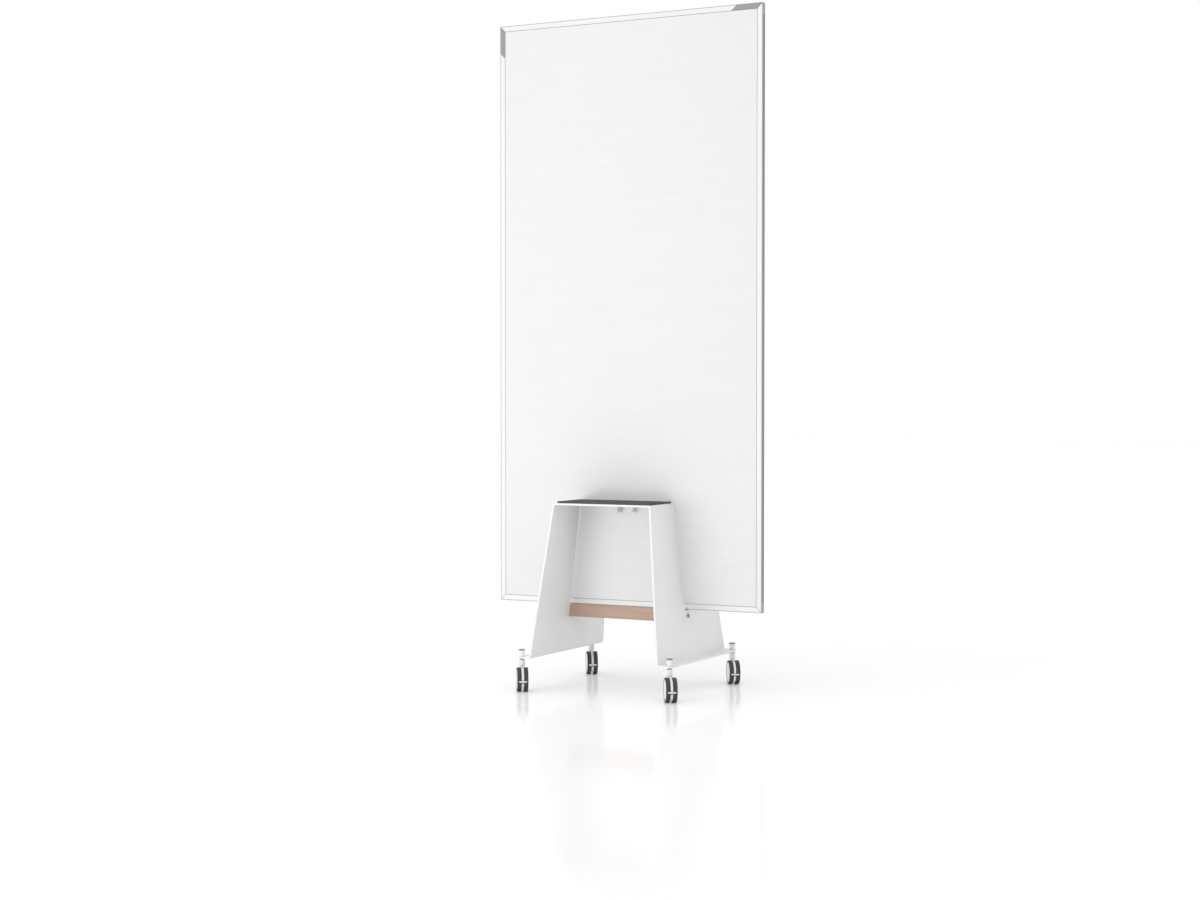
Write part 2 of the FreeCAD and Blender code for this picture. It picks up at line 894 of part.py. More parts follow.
def make_clamps():
    clamp_bracket("clamp_brackets_front", -1)
    clamp_bracket("stop_brackets_rear", 1)
    for name, x_side, turn in (("left", -1, dim.wing_turn_left), ("right", 1, dim.wing_turn_right)):
        clamp_pad("clamp_pad_" + name, x_side)
        clamp_screw("clamp_screw_" + name, x_side, turn)
    stop_pads()


# ---------------------------------------------------------------- what holds the castors to the stand


def corner_piece(label, loop):
    """A turned piece on every castor's upright axis."""
    body = new_body(label + "_blank")
    revolve(body, loop)
    body.setExpression("Placement.Base.x", dim.castor_x.text)
    body.setExpression("Placement.Base.y", (-dim.castor_y).text)
    return four_corners(label, body)


def castor_stems():
    """Each castor's steel stem: swivel pin, collar under the flange and thread above it."""
    return corner_piece("castor_stems", [
        (0, dim.socket_low + dim.stem_end_gap),
        (dim.stem_radius, dim.socket_low + dim.stem_end_gap),
        (dim.stem_radius, dim.collar_low),
        (dim.collar_radius, dim.collar_low),
        (dim.collar_radius, dim.stand_foot),
        (dim.thread_radius, dim.stand_foot),
        (dim.thread_radius, dim.thread_high),
        (0, dim.thread_high),
    ])


def castor_sleeves():
    """Round sleeve nuts that hold the stems on top of the flanges."""
    flange_top = dim.stand_foot + dim.metal_thick
    bore = dim.thread_radius + dim.thread_play
    return corner_piece("castor_sleeves", [
        (bore, flange_top),
        (dim.sleeve_radius - dim.sleeve_chamfer, flange_top),
        (dim.sleeve_radius, flange_top + dim.sleeve_chamfer),
        (dim.sleeve_radius, dim.sleeve_high),
        (bore, dim.sleeve_high),
    ])


def castor_caps():
    """Caps, wider at the top, plugged into the sleeves."""
    plug = dim.thread_radius - dim.thread_play
    return corner_piece("castor_caps", [
        (0, dim.thread_high + dim.stem_end_gap),
        (plug, dim.thread_high + dim.stem_end_gap),
        (plug, dim.sleeve_high),
        (dim.cap_low_radius, dim.sleeve_high),
        (dim.cap_top_radius, dim.cap_high - dim.cap_crown),
        (dim.cap_top_radius - dim.cap_crown, dim.cap_high),
        (0, dim.cap_high),
    ])


# ---------------------------------------------------------------- one castor
# Local frame: upright swivel axis on Z, wheels trailing to -Y, axle along X.

pedal_pivot = (-(dim.trail + dim.pedal_pivot_back), dim.pedal_pivot_up)
bar_front = -(dim.trail + dim.pedal_bar_back)


def castor_housing(label):
    """The plate between the wheels and the round neck that swivels on the stem."""
    body = new_body(label)
    neck = [
        (0, dim.neck_low),
        (dim.neck_radius, dim.neck_low),
        (dim.neck_radius, dim.neck_high),
        (dim.bush_radius, dim.neck_high),
        (dim.bush_radius, dim.socket_low),
        (0, dim.socket_low),
    ]
    revolve(body, neck)
    low_ring = is_ring(dim.neck_radius, dim.neck_low)
    high_ring = is_ring(dim.neck_radius, dim.neck_high)
    fillet(body, dim.neck_round, lambda edge: low_ring(edge) or high_ring(edge))
    web = [
        (-dim.web_half, dim.web_trail_low),
        (dim.web_half, dim.web_lead_low),
        (dim.web_half, dim.neck_low + dim.web_overlap),
        (-dim.web_half, dim.neck_low + dim.web_overlap),
    ]
    pad(body, new_sketch(body, "YZ_Plane", [web]), dim.fork_thick, symmetric=True)
    disc = (-dim.trail, dim.wheel_radius, dim.fork_radius)
    pad(body, new_sketch(body, "YZ_Plane", circles=[disc]), dim.fork_thick, symmetric=True)
    beyond = dim.trail + dim.wheel_radius
    below = rectangle(-beyond, -dim.fork_low, dim.fork_radius, dim.fork_low)
    pocket(body, new_sketch(body, "YZ_Plane", [below]))
    axle_hole = (-dim.trail, dim.wheel_radius, dim.axle_radius)
    pivot_hole = pedal_pivot + (dim.trunnion_radius + dim.trunnion_play,)
    pocket(body, new_sketch(body, "YZ_Plane", circles=[axle_hole, pivot_hole]))
    slot = rectangle(-beyond, dim.pedal_slot_low, -(dim.trail + dim.pedal_slot_start),
                     dim.pedal_slot_high)
    pocket(body, new_sketch(body, "YZ_Plane", [slot]), dim.pedal_slot)
    return body


def castor_bush(label):
    """The plain bearing between the neck and the stem."""
    body = new_body(label)
    rings = [(0, 0, dim.bush_radius), (0, 0, dim.stem_radius + dim.stem_play)]
    sketch = new_sketch(body, "XY_Plane", circles=rings, offset=dim.socket_low)
    pad(body, sketch, dim.neck_high - dim.socket_low)
    return body


def castor_axle(label):
    """A steel pin pressed through the housing."""
    body = new_body(label)
    ring = (-dim.trail, dim.wheel_radius, dim.axle_radius)
    pad(body, new_sketch(body, "YZ_Plane", circles=[ring]), 2 * dim.axle_half_long, symmetric=True)
    return body


def castor_pedal(label):
    """The brake pedal: a lever with trunnions in the housing and a bar across both wheels."""
    body = new_body(label)
    back, up = pedal_pivot
    boss = pedal_pivot + (dim.pedal_boss_radius,)
    pad(body, new_sketch(body, "YZ_Plane", circles=[boss]), dim.pedal_thick, symmetric=True)
    arm = [
        (back, up + dim.pedal_arm_half),
        (bar_front, dim.pedal_bar_high),
        (bar_front, dim.pedal_bar_low),
        (back, up - dim.pedal_arm_half),
    ]
    pad(body, new_sketch(body, "YZ_Plane", [arm]), dim.pedal_thick, symmetric=True)
    bar = rectangle(bar_front - dim.pedal_bar_deep, dim.pedal_bar_low, bar_front, dim.pedal_bar_high)
    pad(body, new_sketch(body, "YZ_Plane", [bar]), dim.pedal_bar_wide, symmetric=True)
    trunnion = pedal_pivot + (dim.trunnion_radius,)
    pad(body, new_sketch(body, "YZ_Plane", circles=[trunnion]), dim.fork_thick, symmetric=True)
    return body


def wheel_hub(label):
    """A hub turned about Z: bearing boss inside, web, rim and a closed, slightly dished outer face."""
    body = new_body(label)
    bore = dim.axle_radius + dim.axle_play
    rim = dim.wheel_radius - dim.tyre_thick
    web = dim.wheel_inner + dim.hub_web_back
    face = dim.wheel_outer - dim.hub_face_back
    bore_end = dim.axle_half_long + dim.hub_cap_gap
    revolve(body, [
        (bore, dim.wheel_inner),
        (dim.hub_boss_radius, dim.wheel_inner),
        (dim.hub_boss_radius + dim.hub_boss_slope, web),
        (dim.hub_web_radius, web),
        (dim.hub_web_radius + dim.hub_web_slope, dim.wheel_inner),
        (rim, dim.wheel_inner),
        (rim, face + dim.hub_lip_tall),
        (rim - dim.hub_lip_wide, face + dim.hub_lip_tall),
        (rim - dim.hub_lip_wide - dim.hub_lip_slope, face),
        (dim.hub_dish_radius, face - dim.hub_dish_deep),
        (0, face),
        (0, bore_end),
        (bore, bore_end),
    ])
    return body


def wheel_tyre(label):
    """The tread ring on a hub's rim, with rounded shoulders."""
    body = new_body(label)
    rim = dim.wheel_radius - dim.tyre_thick
    revolve(body, rectangle(rim, dim.wheel_inner, dim.wheel_radius, dim.wheel_outer))
    inner = is_ring(dim.wheel_radius, dim.wheel_inner)
    outer = is_ring(dim.wheel_radius, dim.wheel_outer)
    fillet(body, dim.tyre_round, lambda edge: inner(edge) or outer(edge))
    return body


def make_castor(name, x_side, y_side):
    """All the pieces of one castor, at its corner of the stand and turned to its heading."""
    heading = dim.castor_heading.number
    centre = FreeCAD.Vector(x_side * dim.castor_x.number, y_side * dim.castor_y.number, 0)
    swivel = FreeCAD.Placement(centre, turned((0, 0, 1), heading))
    pieces = [
        castor_housing(name + "_housing"),
        castor_bush(name + "_bush"),
        castor_axle(name + "_axle"),
        castor_pedal(name + "_pedal"),
    ]
    for piece in pieces:
        piece.Placement = swivel
    wheel_centre = FreeCAD.Vector(0, -dim.trail.number, dim.wheel_radius.number)
    for side, quarter in (("left", -90), ("right", 90)):
        wheel = swivel.multiply(FreeCAD.Placement(wheel_centre, turned((0, 1, 0), quarter)))
        for piece in (wheel_hub(name + "_hub_" + side), wheel_tyre(name + "_tyre_" + side)):
            piece.Placement = wheel
            pieces.append(piece)
    for piece in pieces:
        finish(piece)


# ---------------------------------------------------------------- build, check and write


def make_all():
    make_board()
    stand_sheet()
    shelf_mats()
    crossbar()
    crossbar_bolts()
    crossbar_inserts()
    make_clamps()
    castor_stems()
    castor_sleeves()
    castor_caps()
    for name, x_side, y_side in (("castor_fl", -1, -1), ("castor_fr", 1, -1),
                                 ("castor_rl", -1, 1), ("castor_rr", 1, 1)):
        make_castor(name, x_side, y_side)
    doc.recompute()


def check_all():
    """Stop if any object failed, or a sub-part's shape is empty or broken."""
    failed = [thing.Name for thing in doc.Objects if {"Invalid", "Error"} & set(thing.State)]
    if failed:
        raise RuntimeError("failed objects: " + ", ".join(failed))
    for part in finished:
        if part.Shape.isNull() or not part.Shape.isValid() or not part.Shape.Solids:
            raise RuntimeError(part.Label + " has no valid solid")


def to_centre():
    """The move along Y that brings the middle of the whole object's box over the origin."""
    box = Part.makeCompound([part.Shape for part in finished]).optimalBoundingBox(False, False)
    return FreeCAD.Vector(0, -round((box.YMin + box.YMax) / 2, 2), 0)


def write_all():
    os.makedirs("parts", exist_ok=True)
    move = to_centre()
    print("every piece is moved along Y by %.2f mm" % move.y)
    for part in finished:
        shape = part.Shape.copy()
        shape.translate(move)
        shape.exportStep("parts/%s.step" % part.Label)


make_all()
check_all()
write_all()
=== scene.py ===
"""Finishes, floor, light and camera for the rolling whiteboard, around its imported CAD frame.

Every piece is a CAD mesh. This script rounds its sharp edges and gives it the finish of its material slot.
Lengths are in metres, and a colour is linear red, green, blue and alpha.
"""

import json
import math
from functools import partial

import bpy
from mathutils import Euler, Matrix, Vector


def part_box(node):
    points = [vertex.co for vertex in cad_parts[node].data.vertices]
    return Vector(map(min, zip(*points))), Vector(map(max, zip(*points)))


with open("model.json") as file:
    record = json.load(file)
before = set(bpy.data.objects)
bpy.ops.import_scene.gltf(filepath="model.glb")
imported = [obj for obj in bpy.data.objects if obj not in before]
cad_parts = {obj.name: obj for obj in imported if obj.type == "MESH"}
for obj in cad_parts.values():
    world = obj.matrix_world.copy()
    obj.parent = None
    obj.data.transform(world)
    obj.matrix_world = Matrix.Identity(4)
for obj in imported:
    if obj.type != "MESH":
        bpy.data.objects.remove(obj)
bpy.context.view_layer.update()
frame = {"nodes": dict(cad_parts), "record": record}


# ---------------------------------------------------------------- colours


def grey(value, warmth=0.0):
    """A neutral colour; warmth moves it a little towards yellow, or towards blue when negative."""
    return (value * (1 + warmth), value, value * (1 - warmth), 1.0)


def shade(colour, factor):
    """A colour made darker, or lighter where factor is over 1."""
    return tuple(min(1.0, part * factor) for part in colour[:3]) + (1.0,)


WHITE = grey(1.0)
WHITE_PAINT = grey(0.80, 0.003)
DUST = grey(0.13, 0.03)

OAK_LIGHT = (0.545, 0.388, 0.305, 1.0)
OAK_BAND = (0.460, 0.320, 0.248, 1.0)
OAK_STREAK = (0.400, 0.280, 0.215, 1.0)
OAK_PORE = (0.200, 0.130, 0.095, 1.0)
OAK_RUBBED = (0.620, 0.465, 0.370, 1.0)
# painted shade for the oak's tight corners
OAK_CORNER_SHADE = (0.160, 0.100, 0.070, 1.0)

BOARD_FIBRE = (0.42, 0.36, 0.29, 1.0)
BOARD_PALE = (0.52, 0.45, 0.37, 1.0)

BRASS = (0.78, 0.57, 0.25, 1.0)


# ---------------------------------------------------------------- shader nodes

RAYS = 4  # rays that a crevice or a worn edge is found with, for each sample of the render


class Nodes:
    """A node tree, with short ways to add nodes to it and wire them."""

    def __init__(self, tree):
        self.tree = tree

    def fill(self, node, inputs):
        """Link a node's inputs, given by name or number, to other nodes' outputs, or set plain values."""
        for name, value in inputs.items():
            if isinstance(value, bpy.types.NodeSocket):
                self.tree.links.new(value, node.inputs[name])
            else:
                node.inputs[name].default_value = value

    def node(self, kind, inputs=None, **settings):
        """A new node with the given settings and inputs."""
        made = self.tree.nodes.new(kind)
        for name, value in settings.items():
            setattr(made, name, value)
        self.fill(made, inputs or {})
        return made

    def calculate(self, operation, first, second=0.0):
        """The result of one operation on one or two numbers."""
        return self.node("ShaderNodeMath", {0: first, 1: second}, operation=operation).outputs["Value"]

    def dot(self, first, second):
        """The dot product of two vectors."""
        made = self.node("ShaderNodeVectorMath", {0: first, 1: second}, operation="DOT_PRODUCT")
        return made.outputs["Value"]

    def spread(self, value, source, target=(0.0, 1.0)):
        """Map a value from the source range onto the target range, and hold it at the target's ends."""
        low, high = source
        start, end = target
        inputs = {"Value": value, "From Min": low, "From Max": high, "To Min": start, "To Max": end}
        return self.node("ShaderNodeMapRange", inputs, clamp=True).outputs["Result"]

    def blend(self, share, first, second):
        """Mix two colours; share is 0 for the first and 1 for the second."""
        inputs = {"Factor": share, "A": first, "B": second}
        return self.node("ShaderNodeMix", inputs, data_type="RGBA").outputs["Result"]

    def mix_shaders(self, share, first, second):
        """Mix two shader nodes; share is 0 for the first and 1 for the second."""
        inputs = {"Fac": share, 1: first.outputs[0], 2: second.outputs[0]}
        return self.node("ShaderNodeMixShader", inputs).outputs["Shader"]


class Finish(Nodes):
    """A material, with the patterns that its surface is made from."""

    def __init__(self, name):
        self.material = bpy.data.materials.new(name)
        self.material.use_nodes = True
        super().__init__(self.material.node_tree)
        self.place = self.node("ShaderNodeTexCoord").outputs["Object"]

    def surface(self, **values):
        """Fill the shader's inputs, with _ for each space in a name, and return the material."""
        inputs = {name.replace("_", " "): value for name, value in values.items()}
        self.fill(self.tree.nodes["Principled BSDF"], inputs)
        return self.material

    def stretched(self, size):
        """Texture space in which one unit is the given size: one length, or one for each axis."""
        lengths = size if isinstance(size, tuple) else (size, size, size)
        scale = [1 / length for length in lengths]
        return self.node("ShaderNodeMapping", {"Vector": self.place, "Scale": scale}).outputs["Vector"]

    def noise(self, size, detail=3.0, roughness=0.5, distortion=0.0):
        """Soft noise from 0 to 1, with blobs of about the given size."""
        inputs = {"Vector": self.stretched(size), "Scale": 1.0, "Detail": detail,
                  "Roughness": roughness, "Distortion": distortion}
        return self.node("ShaderNodeTexNoise", inputs).outputs["Fac"]

    def cells(self, size):
        """Distance from the nearest centre of a pattern of cells."""
        inputs = {"Vector": self.stretched(size), "Scale": 1.0}
        return self.node("ShaderNodeTexVoronoi", inputs, feature="F1").outputs["Distance"]

    def bands(self, direction, scale, distortion):
        """Waves from 0 to 1 across one axis, slightly bent; their pitch is 0.314 / scale."""
        inputs = {"Vector": self.place, "Scale": scale, "Distortion": distortion}
        return self.node("ShaderNodeTexWave", inputs, bands_direction=direction).outputs["Fac"]

    def bump(self, height, depth, below=None):
        """Relief of the given depth, on top of another relief if there is one."""
        inputs = {"Height": height, "Strength": 1.0, "Distance": depth}
        if below is not None:
            inputs["Normal"] = below
        return self.node("ShaderNodeBump", inputs).outputs["Normal"]

    def rim(self, low, high, width):
        """1 within width of a box's outline, seen along Y, and 0 inside it."""
        place = self.node("ShaderNodeSeparateXYZ", {"Vector": self.place}).outputs
        near = []
        for axis, start, end in (("X", low.x, high.x), ("Z", low.z, high.z)):
            offset = self.calculate("SUBTRACT", place[axis], (start + end) / 2)
            distance = self.calculate("ABSOLUTE", offset)
            near.append(self.calculate("GREATER_THAN", distance, (end - start) / 2 - width))
        return self.calculate("MAXIMUM", *near)

    def corner_shade(self, body, shadow_colour, reach, most, openness):
        """Paint shade into a colour: darker in corners narrower than reach, where light reaches less.

        A point's openness is 0 in a deep corner and 1 in the open. The painted shade has its most at the
        first of the two given values, and none at the second.
        """
        inside = self.node("ShaderNodeAmbientOcclusion", {"Distance": reach}, samples=RAYS).outputs["AO"]
        # painted shade: the colour is pulled towards the shadow colour where ambient occlusion finds a
        # tight corner
        return self.blend(self.spread(inside, openness, (most, 0.0)), body, shadow_colour)

    def wear(self, body, bare, width, most):
        """Turn a colour towards bare in patches along the arrises, by up to most of it."""
        rounded = self.node("ShaderNodeBevel", {"Radius": width}, samples=RAYS).outputs["Normal"]
        straight = self.node("ShaderNodeNewGeometry").outputs["Normal"]
        edge = self.spread(self.dot(rounded, straight), (0.78, 0.99), (most, 0.0))
        patches = self.spread(self.noise(width * 8, detail=5.0), (0.3, 0.55), (0.45, 1.0))
        return self.blend(self.calculate("MULTIPLY", edge, patches), body, bare)


# ---------------------------------------------------------------- finishes


def powder_coat(name, colour, roughness):
    """Sprayed satin powder coat on steel: orange peel, faint clouding and a little painted shade in the
    corners.
    """
    made = Finish(name)
    cloud = made.spread(made.noise(0.22, detail=4.0), (0.3, 0.7))
    scuff = made.spread(made.noise((0.012, 0.012, 0.0025), detail=6.0), (0.66, 0.8), (0.0, 0.5))
    polish = made.noise(0.045, detail=5.0)
    body = made.blend(cloud, shade(colour, 0.975), colour)
    # painted shade: the white turns darker in corners narrower than 3 mm
    body = made.corner_shade(body, shade(colour, 0.62), reach=0.003, most=0.3, openness=(0.15, 0.85))
    body = made.wear(body, shade(colour, 0.80), width=0.0012, most=0.35)
    return made.surface(
        Base_Color=made.blend(scuff, body, shade(colour, 0.95)),
        Roughness=made.spread(polish, (0.25, 0.75), (roughness - 0.05, roughness + 0.06)),
        Normal=made.bump(made.noise(0.0016, detail=2.0), depth=0.00005),
        Coat_Weight=0.12,
        Coat_Roughness=0.25)


def writing_enamel(name):
    """Glossy white writing surface with the faintest haze of wiped strokes."""
    made = Finish(name)
    wiped = made.noise((0.26, 0.26, 0.035), detail=5.0, distortion=1.4)
    body = made.blend(made.spread(wiped, (0.42, 0.72)), grey(0.74, -0.002), grey(0.725, -0.004))
    wave = made.bump(made.noise(0.09, detail=1.0), depth=0.00006)
    return made.surface(
        # painted shade: darker grey in corners narrower than 1 cm, such as along the frame's lips
        Base_Color=made.corner_shade(body, grey(0.62), reach=0.01, most=0.25, openness=(0.2, 0.8)),
        Roughness=made.spread(wiped, (0.3, 0.75), (0.16, 0.27)),
        Normal=made.bump(made.noise(0.0012, detail=2.0), depth=0.000006, below=wave),
        Coat_Weight=0.3,
        Coat_Roughness=0.08)


def frame_corners():
    """The low and high corners of the board's outline."""
    rails = [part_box(name) for name in ("frame_left", "frame_right", "frame_bottom", "frame_top")]
    low = Vector([min(box[0][axis] for box in rails) for axis in range(3)])
    high = Vector([max(box[1][axis] for box in rails) for axis in range(3)])
    return low, high


def rail_lacquer(name, shaded_outline):
    """White satin lacquer on drawn aluminium, with a painted shade line of that width round the outer
    edge.
    """
    made = Finish(name)
    low, high = frame_corners()
    lines = made.noise((0.0006, 0.0006, 0.35), detail=3.0)
    body = made.blend(made.spread(lines, (0.35, 0.65)), grey(0.765), grey(0.79))
    body = made.wear(body, grey(0.55), width=0.0015, most=0.6)
    # painted shade: a grey line round the board's outer edge, standing in for the shade on its rounded
    # arris
    body = made.blend(made.rim(low, high, shaded_outline), body, grey(0.40))
    return made.surface(
        # painted shade: strong darkening in corners narrower than 2.5 mm, along the frame's joints and
        # lips
        Base_Color=made.corner_shade(body, grey(0.30), reach=0.0025, most=0.7, openness=(0.2, 0.85)),
        Roughness=made.spread(lines, (0.3, 0.7), (0.30, 0.38)),
        Normal=made.bump(lines, depth=0.000012),
        Coat_Weight=0.15,
        Coat_Roughness=0.2)


def moulded(name, colour, roughness, grain=0.0011, depth=0.00003):
    """Moulded plastic with a fine spark-eroded grain, handling marks and painted shade in its corners."""
    made = Finish(name)
    speck = made.spread(made.noise(grain * 6, detail=5.0), (0.35, 0.65))
    handled = made.noise(0.014, detail=6.0)
    body = made.blend(speck, shade(colour, 0.94), colour)
    body = made.wear(body, shade(colour, 0.82), width=0.0008, most=0.5)
    return made.surface(
        # painted shade: the colour at half brightness in corners narrower than 2 mm
        Base_Color=made.corner_shade(body, shade(colour, 0.5), reach=0.002, most=0.4, openness=(0.1, 0.8)),
        Roughness=made.spread(handled, (0.3, 0.7), (roughness - 0.06, roughness + 0.08)),
        Normal=made.bump(made.noise(grain, detail=3.0), depth))


def rubber(name, colour, roughness):
    """Matt rubber with a pebbled skin and pale dust on it."""
    made = Finish(name)
    pebble = made.cells(0.0012)
    dusty = made.spread(made.noise(0.02, detail=6.0, roughness=0.65), (0.5, 0.85), (0.0, 0.25))
    body = made.blend(made.spread(pebble, (0.1, 0.8)), shade(colour, 1.15), shade(colour, 0.85))
    return made.surface(
        Base_Color=made.blend(dusty, body, grey(0.22, 0.03)),
        Roughness=made.spread(made.noise(0.01), (0.3, 0.7), (roughness - 0.08, roughness + 0.08)),
        Normal=made.bump(pebble, depth=-0.00006),
        Specular_IOR_Level=0.35)


def woven_mat(name):
    """Charcoal desk-mat rubber: a fine woven emboss, worn paler where things are slid about."""
    made = Finish(name)
    emboss = made.calculate("MULTIPLY", *(made.bands(axis, scale=260.0, distortion=0.6) for axis in "XY"))
    worn = made.spread(made.noise(0.06, detail=6.0, roughness=0.6), (0.4, 0.75), (0.0, 0.5))
    body = made.blend(emboss, grey(0.078), grey(0.112))
    body = made.wear(body, grey(0.15, 0.01), width=0.0015, most=0.6)
    return made.surface(
        Base_Color=made.blend(worn, body, grey(0.14, 0.01)),
        Roughness=made.spread(worn, (0.0, 0.5), (0.85, 0.7)),
        Normal=made.bump(emboss, depth=0.00008),
        Specular_IOR_Level=0.1)


def oiled_oak(name):
    """Oiled oak with its grain along X: growth bands, streaks and open pores."""
    made = Finish(name)
    growth = made.noise((0.65, 0.011, 0.011), detail=4.0, roughness=0.55, distortion=0.6)
    streaks = made.noise((0.16, 0.0016, 0.0016), detail=4.0, roughness=0.6)
    pores = made.spread(made.noise((0.014, 0.0006, 0.0006), detail=2.0), (0.60, 0.70))
    body = made.blend(made.spread(growth, (0.35, 0.65)), OAK_LIGHT, OAK_BAND)
    body = made.blend(made.spread(streaks, (0.35, 0.7), (0.0, 0.65)), body, OAK_STREAK)
    body = made.blend(made.spread(pores, (0.0, 1.0), (0.0, 0.45)), body, OAK_PORE)
    body = made.wear(body, OAK_RUBBED, width=0.0015, most=0.5)
    relief = made.bump(streaks, depth=0.00008)
    return made.surface(
        # painted shade: turns the oak towards dark brown in corners narrower than 5 mm
        Base_Color=made.corner_shade(body, OAK_CORNER_SHADE, reach=0.005, most=0.45, openness=(0.2, 0.85)),
        Roughness=made.spread(streaks, (0.3, 0.7), (0.46, 0.6)),
        Normal=made.bump(pores, depth=-0.00015, below=relief),
        Specular_IOR_Level=0.35)


def metal(name, colour, roughness):
    """Bare or plated metal with fine turning lines and uneven polish."""
    made = Finish(name)
    lines = made.noise((0.0004, 0.0004, 0.006), detail=4.0)
    tarnish = made.spread(made.noise(0.006, detail=5.0), (0.35, 0.7))
    body = made.blend(tarnish, colour, shade(colour, 0.8))
    return made.surface(
        Base_Color=made.wear(body, shade(colour, 1.25), width=0.0006, most=0.7),
        Metallic=1.0,
        Roughness=made.spread(lines, (0.3, 0.7), (roughness - 0.07, roughness + 0.1)),
        Normal=made.bump(lines, depth=0.00002))


def tyre(name):
    """Dark grey polyurethane tread with dust picked up from the floor."""
    made = Finish(name)
    grain = made.noise(0.0009, detail=3.0)
    dusty = made.spread(made.noise(0.009, detail=7.0, roughness=0.7), (0.46, 0.8), (0.0, 0.4))
    body = made.blend(made.spread(grain, (0.3, 0.7)), grey(0.026), grey(0.046))
    return made.surface(
        Base_Color=made.blend(dusty, body, DUST),
        Roughness=made.spread(made.noise(0.006, detail=4.0), (0.3, 0.7), (0.48, 0.66)),
        Normal=made.bump(grain, depth=0.00006),
        Specular_IOR_Level=0.45)


def core_board(name):
    """Pale grey-brown honeycomb board."""
    made = Finish(name)
    fibre = made.noise((0.02, 0.002, 0.02), detail=6.0)
    return made.surface(
        Base_Color=made.blend(made.spread(fibre, (0.3, 0.7)), BOARD_FIBRE, BOARD_PALE),
        Roughness=0.9,
        Normal=made.bump(fibre, depth=0.0001))


def studio_floor(name):
    """Pale matt floor under a soft, weak mirror."""
    made = Finish(name)
    made.tree.nodes.remove(made.tree.nodes["Principled BSDF"])
    tone = made.spread(made.noise(0.8, detail=2.0), (0.3, 0.7))
    matt = made.node("ShaderNodeBsdfDiffuse", {"Color": made.blend(tone, grey(0.955), grey(0.965))})
    polish = made.spread(made.noise(0.5), (0.3, 0.7), (0.10, 0.12))
    mirror = made.node("ShaderNodeBsdfGlossy", {"Color": WHITE, "Roughness": polish})
    both = made.mix_shaders(0.26, matt, mirror)
    made.fill(made.tree.nodes["Material Output"], {"Surface": both})
    return made.material


castor_plastic = partial(moulded, roughness=0.34, grain=0.0008, depth=0.000012)

# what makes the finish of each of the record's material slots
FINISHES = {
    "stand_paint": partial(powder_coat, colour=WHITE_PAINT, roughness=0.42),
    "writing_enamel": writing_enamel,
    "frame_paint": partial(rail_lacquer, shaded_outline=0.0026),
    "accent_grey": partial(moulded, colour=grey(0.305), roughness=0.5),
    "edge_grey": partial(moulded, colour=grey(0.23), roughness=0.5),
    "clip_grey": partial(moulded, colour=grey(0.35), roughness=0.5),
    "seal_grey": partial(rubber, colour=grey(0.30), roughness=0.7),
    "core_board": core_board,
    "key_aluminium": partial(metal, colour=grey(0.75, -0.01), roughness=0.35),
    "mat_charcoal": woven_mat,
    "oak": oiled_oak,
    "bolt_dark": partial(metal, colour=grey(0.38, -0.02), roughness=0.42),
    "insert_brass": partial(metal, colour=BRASS, roughness=0.3),
    "steel": partial(metal, colour=grey(0.60, -0.01), roughness=0.28),
    "castor_white": partial(castor_plastic, colour=grey(0.80)),
    "hub_grey": partial(castor_plastic, colour=grey(0.72)),
    "cap_grey": partial(moulded, colour=grey(0.20), roughness=0.25),
    "stem_dark": partial(metal, colour=grey(0.30), roughness=0.4),
    "tyre_dark": tyre,
    "bush_plastic": partial(moulded, colour=grey(0.72, 0.05), roughness=0.4),
    "clamp_white": partial(moulded, colour=grey(0.82), roughness=0.38),
    "pad_rubber": partial(rubber, colour=grey(0.60), roughness=0.8),
}


def paint_nodes():
    """Give every CAD node the finish of its material slot."""
    made = {}
    for row in frame["record"]["subparts"]:
        slot = row["material_slot"]
        if slot not in made:
            made[slot] = FINISHES[slot]("finish_" + slot)
        piece = frame["nodes"][row["node"]]
        piece.data.materials.clear()
        piece.data.materials.append(made[slot])


# ---------------------------------------------------------------- softened edges

WELD_DISTANCE = 1e-6               # vertices closer than this are one
FLAT_ANGLE = math.radians(0.3)     # faces that meet at less than this are one flat face
SHARP_ANGLE = math.radians(35)     # only edges sharper than this are rounded

# edge radius of the pieces whose edges the CAD leaves sharp
EDGE_RADIUS = {
    "stand_sheet": 0.0008,
    "frame_top": 0.001,
    "frame_right": 0.001,
    "frame_bottom": 0.001,
    "frame_left": 0.001,
    "writing_sheet_front": 0.0003,
    "writing_sheet_rear": 0.0003,
    "accent_left": 0.0001,
    "accent_top": 0.0001,
    "shelf_mats": 0.0005,
    "crossbar": 0.0005,
    "clamp_brackets_front": 0.0003,
    "stop_brackets_rear": 0.0003,
    "clamp_screw_left": 0.0004,
    "clamp_screw_right": 0.0004,
}


def modify(piece, name, kind, **settings):
    """Add a modifier with the given settings."""
    made = piece.modifiers.new(name, kind)
    for key, value in settings.items():
        setattr(made, key, value)


def soften_edges():
    """Round the sharp edges a little, so that they catch the light."""
    for name, radius in EDGE_RADIUS.items():
        piece = frame["nodes"][name]
        for face in piece.data.polygons:
            face.use_smooth = True
        modify(piece, "weld", "WELD", merge_threshold=WELD_DISTANCE)
        modify(piece, "flat_faces", "DECIMATE", decimate_type="DISSOLVE", angle_limit=FLAT_ANGLE)
        modify(piece, "edges", "BEVEL", loop_slide=False, width=radius, segments=2,
               limit_method="ANGLE", angle_limit=SHARP_ANGLE, harden_normals=True)


# ---------------------------------------------------------------- floor, light and camera

FLOOR_HALF = 40.0

# the room lights the object most from this direction, and least from the opposite one
ROOM_BRIGHT_SIDE = (-0.45, -0.35, 0.82)
ROOM_DIMMEST = 0.66
ROOM_BRIGHTEST = 1.22

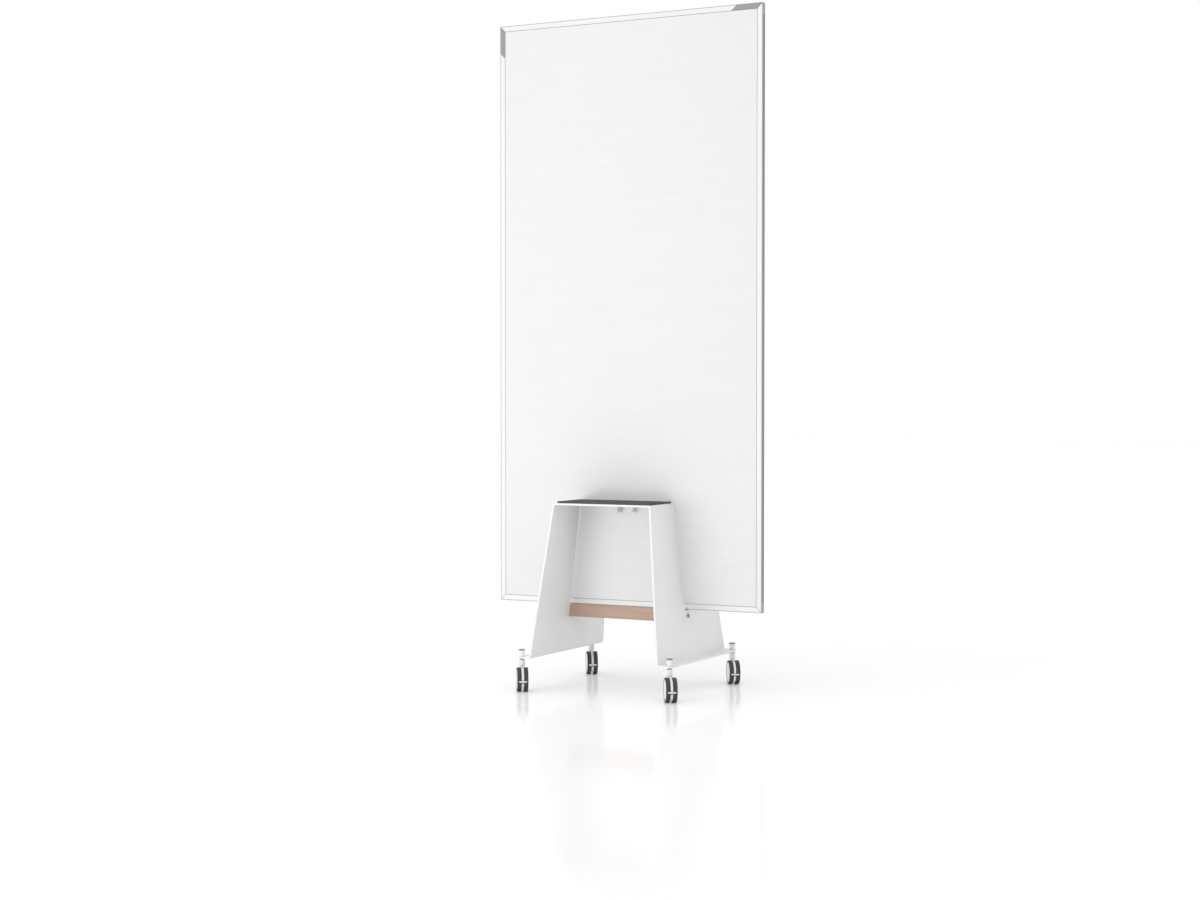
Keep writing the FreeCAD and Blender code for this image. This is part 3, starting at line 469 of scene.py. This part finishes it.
# the photograph's camera, fitted to its straight edges; the eye is measured from the floor under the
# board's mid-plane
SENSOR_MM = 36.0
LENS_MM = 62.574
EYE = (3.204033, -6.315841, 0.988629)
DEGREES_DOWN = 1.485
DEGREES_TURNED = 27.681
FARTHEST_SEEN = 200.0


def lay_floor():
    """A wide pale floor."""
    mesh = bpy.data.meshes.new("floor")
    corners = [(x * FLOOR_HALF, y * FLOOR_HALF, 0) for x, y in ((-1, -1), (1, -1), (1, 1), (-1, 1))]
    mesh.from_pydata(corners, [], [(0, 1, 2, 3)])
    mesh.materials.append(studio_floor("studio_floor"))
    floor = bpy.data.objects.new("floor", mesh)
    bpy.context.scene.collection.objects.link(floor)


def white_room():
    """White all round: plain to the camera, and brighter on one side for the object."""
    world = bpy.data.worlds.new("room")
    bpy.context.scene.world = world
    world.use_nodes = True
    made = Nodes(world.node_tree)
    direction = made.node("ShaderNodeTexCoord").outputs["Generated"]
    toward = made.dot(direction, Vector(ROOM_BRIGHT_SIDE).normalized())
    level = made.spread(toward, (-1.0, 1.0), (ROOM_DIMMEST, ROOM_BRIGHTEST))
    lit = made.tree.nodes["Background"]
    made.fill(lit, {"Color": WHITE, "Strength": level})
    seen = made.node("ShaderNodeBackground", {"Color": WHITE, "Strength": 1.0})
    is_camera = made.node("ShaderNodeLightPath").outputs["Is Camera Ray"]
    made.fill(made.tree.nodes["World Output"], {"Surface": made.mix_shaders(is_camera, lit, seen)})


def soft_box(name, place, aim, size, watts):
    """A large area light that neither the camera nor a reflection sees."""
    light = bpy.data.lights.new(name, "AREA")
    light.shape = "RECTANGLE"
    light.size, light.size_y = size
    light.energy = watts
    lamp = bpy.data.objects.new(name, light)
    lamp.location = place
    lamp.rotation_euler = (Vector(aim) - Vector(place)).to_track_quat("-Z", "Y").to_euler()
    lamp.visible_camera = False
    lamp.visible_glossy = False
    bpy.context.scene.collection.objects.link(lamp)


def photo_camera():
    """The photograph's viewpoint: from the front right, a little below the middle of the board."""
    camera = bpy.data.cameras.new("camera")
    camera.sensor_width = SENSOR_MM
    camera.lens = LENS_MM
    camera.clip_end = FARTHEST_SEEN
    eye = bpy.data.objects.new("camera", camera)
    across, along, up = EYE
    middle_y = sum(corner.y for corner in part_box("board_core")) / 2
    eye.location = (across, middle_y + along, up)
    turned = math.radians(90 - DEGREES_DOWN), 0, math.radians(DEGREES_TURNED)
    eye.rotation_euler = Euler(turned, "XYZ")
    bpy.context.scene.collection.objects.link(eye)
    bpy.context.scene.camera = eye


def plain_colours():
    """Show light as it is, with no film look."""
    view = bpy.context.scene.view_settings
    view.view_transform = "Standard"
    view.look = "None"


paint_nodes()
soften_edges()
lay_floor()
white_room()
soft_box("front", place=(-1.4, -3.4, 0.5), aim=(0, 0, 0.4), size=(1.8, 1.0), watts=27)
photo_camera()
plain_colours()
